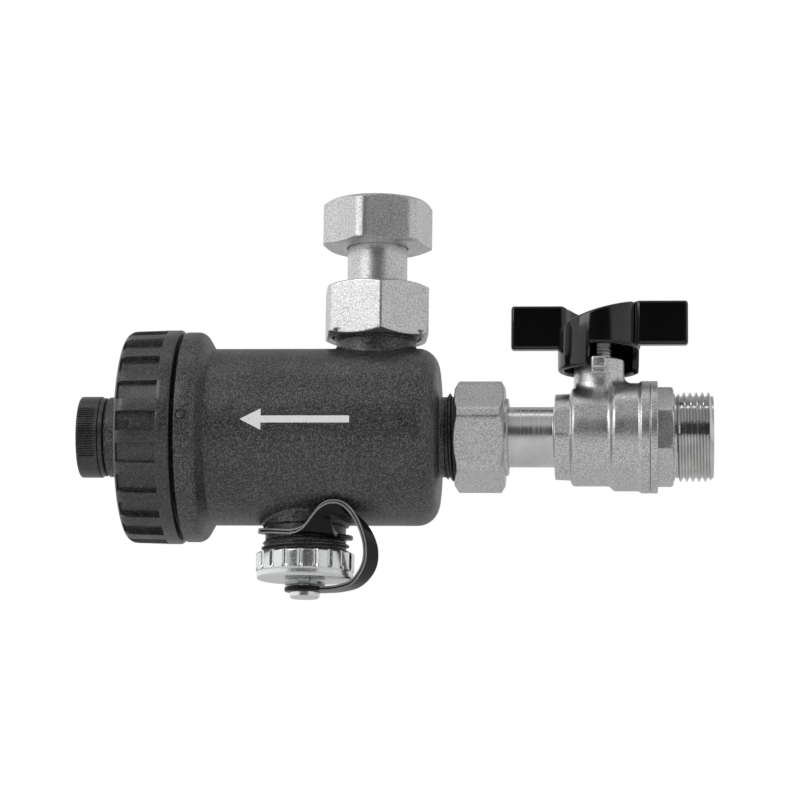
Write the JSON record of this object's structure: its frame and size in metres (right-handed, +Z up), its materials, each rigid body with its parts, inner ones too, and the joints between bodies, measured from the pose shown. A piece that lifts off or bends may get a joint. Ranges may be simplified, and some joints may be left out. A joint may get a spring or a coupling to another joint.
{
  "type": "magnetic system filter",
  "caption": "Under-boiler magnetic heating filter: black casing with a screw-on closure, pull-out magnet, capped drain, union nuts and a butterfly-handle ball valve.",
  "frame": {"origin": "on the outlet thread's axis, at its last full crest, 1 mm inside the outlet end face", "axes": "+X along the outlet thread's axis and out of it, +Z up along the boiler port, -Y towards the side that the handle's stop post is on"},
  "size_m": [0.1892, 0.0642, 0.1199],
  "materials": {
    "black_nylon": "fine-grained moulded nylon",
    "knob_nylon": "moulded nylon, ridged",
    "strap_plastic": "smooth flexible plastic",
    "gloss_black": "glossy black coating",
    "nickel_brass": "nickel plate over a blasted forging",
    "bright_nickel": "turned, nickel plated",
    "chrome_plate": "polished chrome",
    "plain_brass": "turned brass",
    "zinc_steel": "zinc plated",
    "steel_mesh": "stainless steel",
    "magnet_grey": "nickel-plated magnet",
    "ptfe": "white PTFE",
    "rubber_seal": "black rubber",
    "fibre_seal": "pressed fibre sheet"
  },
  "bodies": {
    "filter": {"filter_body": "black_nylon", "strainer_mesh": "steel_mesh", "strainer_rings": "black_nylon", "outlet_gasket": "fibre_seal", "outlet_union_nut": "nickel_brass", "valve_body": "nickel_brass", "valve_end": "bright_nickel", "ball_seat_inlet": "ptfe", "ball_seat_outlet": "ptfe", "stem_washer": "ptfe", "cap_strap": "strap_plastic"},
    "handle": {"valve_ball": "chrome_plate", "valve_stem": "plain_brass", "stem_o_ring": "rubber_seal", "valve_handle": "gloss_black", "handle_nut": "zinc_steel"},
    "closure": {"closure_plug": "black_nylon", "magnet_pocket": "steel_mesh", "closure_o_ring": "rubber_seal"},
    "ring": {"lock_ring": "black_nylon"},
    "magnet": {"magnet_rod": "zinc_steel", "magnets": "magnet_grey", "pole_discs": "magnet_grey", "rod_nut": "zinc_steel"},
    "knob": {"magnet_knob": "knob_nylon", "knob_o_ring": "rubber_seal"},
    "tail": {"boiler_tail": "bright_nickel", "port_gasket": "fibre_seal", "boiler_gasket": "fibre_seal"},
    "port_nut": {"port_union_nut": "nickel_brass"},
    "boiler_nut": {"boiler_union_nut": "nickel_brass"},
    "cap_carrier": {"cap_pin": "chrome_plate", "pin_washer": "chrome_plate", "drain_gasket": "rubber_seal"},
    "cap": {"drain_cap": "chrome_plate"}
  },
  "joints": [
    {"name": "handle_turn", "type": "hinge", "parent": "filter", "child": "handle", "pos_m": [-0.0328, 0, 0.028], "axis": [0, 0, 1], "range_deg": [-90, 0]},
    {"name": "closure_slide", "type": "slide", "parent": "filter", "child": "closure", "axis": [-1, 0, 0], "range_m": [0, 0.012]},
    {"name": "lock_ring_turn", "type": "hinge", "parent": "closure", "child": "ring", "pos_m": [-0.1655, 0, 0], "axis": [-1, 0, 0], "range_deg": [0, 1080.5]},
    {"name": "magnet_pull", "type": "slide", "parent": "closure", "child": "magnet", "axis": [-1, 0, 0], "range_m": [0, 0.085]},
    {"name": "knob_turn", "type": "hinge", "parent": "magnet", "child": "knob", "pos_m": [-0.184, 0, 0], "axis": [-1, 0, 0], "continuous": true},
    {"name": "tail_lift", "type": "slide", "parent": "filter", "child": "tail", "axis": [0, 0, 1], "range_m": [0, 0.00907]},
    {"name": "port_nut_turn", "type": "hinge", "parent": "tail", "child": "port_nut", "pos_m": [-0.0996, 0, 0.0374], "axis": [0, 0, 1], "range_deg": [0, 1801]},
    {"name": "boiler_nut_turn", "type": "hinge", "parent": "tail", "child": "boiler_nut", "pos_m": [-0.0996, 0, 0.0645], "axis": [0, 0, 1], "continuous": true},
    {"name": "cap_drop", "type": "slide", "parent": "filter", "child": "cap_carrier", "axis": [0, 0, -1], "range_m": [0, 0.00726], "deforming": ["cap_strap"]},
    {"name": "drain_cap_turn", "type": "hinge", "parent": "cap_carrier", "child": "cap", "pos_m": [-0.12, 0, -0.039], "axis": [0, 0, -1], "range_deg": [0, 1441]}
  ],
  "couplings": [
    {"joint": "lock_ring_turn", "follows": "closure_slide", "rad_per_m": 1570.8},
    {"joint": "port_nut_turn", "follows": "tail_lift", "rad_per_m": 3463.7},
    {"joint": "drain_cap_turn", "follows": "cap_drop", "rad_per_m": 3463.7}
  ]
}
